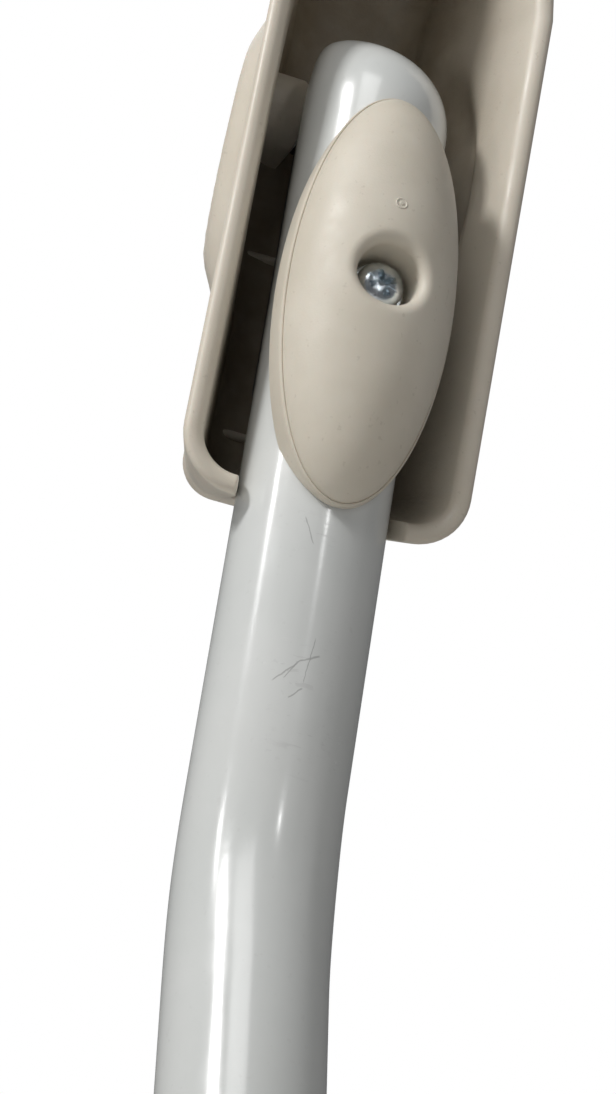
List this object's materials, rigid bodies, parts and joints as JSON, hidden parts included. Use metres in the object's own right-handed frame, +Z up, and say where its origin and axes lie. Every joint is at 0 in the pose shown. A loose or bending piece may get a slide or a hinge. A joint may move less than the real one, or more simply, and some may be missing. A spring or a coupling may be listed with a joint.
{
  "type": "window crank handle",
  "caption": "Window crank handle: a bent tube turns on a wall rosette, and a trough-shaped grip folds over its rounded end beside an oval screw cap.",
  "frame": {"origin": "on the crank's axis at the wall face of the rosette plate, midway between its two screw holes", "axes": "+Y out of the wall into the room along the crank's axis, +Z up along the arm at rest, +X to the right seen from the wall"},
  "size_m": [0.0548, 0.1287, 0.3029],
  "materials": {
    "shell": "moulded, satin almond",
    "white": "gloss powder coat",
    "zinc": "bright zinc plate",
    "steel": "plain steel",
    "casting": "powder-coated zinc casting",
    "nylon": "natural acetal",
    "dark_nylon": "glass-filled nylon",
    "rubber": "soft black",
    "brass": "turned"
  },
  "bodies": {
    "rosette": {"rosette_plate": "steel", "rosette_cover": "shell", "bearing_bush": "nylon"},
    "crank": {"wave_washer": "steel", "thrust_washer": "nylon", "retaining_ring": "steel", "hub": "casting", "drive_spindle": "steel", "hub_screw": "zinc", "hub_cap": "shell", "tube_rivet": "zinc", "arm_tube": "white", "oval_cap": "shell", "cap_screw": "zinc", "cap_washer": "zinc", "lock_washer": "zinc", "crush_sleeve": "steel", "pivot_carrier": "dark_nylon", "threaded_insert": "brass", "hinge_pin": "steel", "left_pin_clip": "steel", "right_pin_clip": "steel"},
    "grip": {"grip_shell": "shell", "left_hinge_bush": "nylon", "right_hinge_bush": "nylon", "rest_bumper": "rubber"}
  },
  "joints": [
    {"name": "crank_turn", "type": "hinge", "parent": "rosette", "child": "crank", "pos_m": [0, 0, 0], "axis": [0, 1, 0], "continuous": true},
    {"name": "grip_fold", "type": "hinge", "parent": "crank", "child": "grip", "pos_m": [0, 0.09255, 0.21528], "axis": [1, 0, 0], "range_deg": [0, 90]}
  ]
}
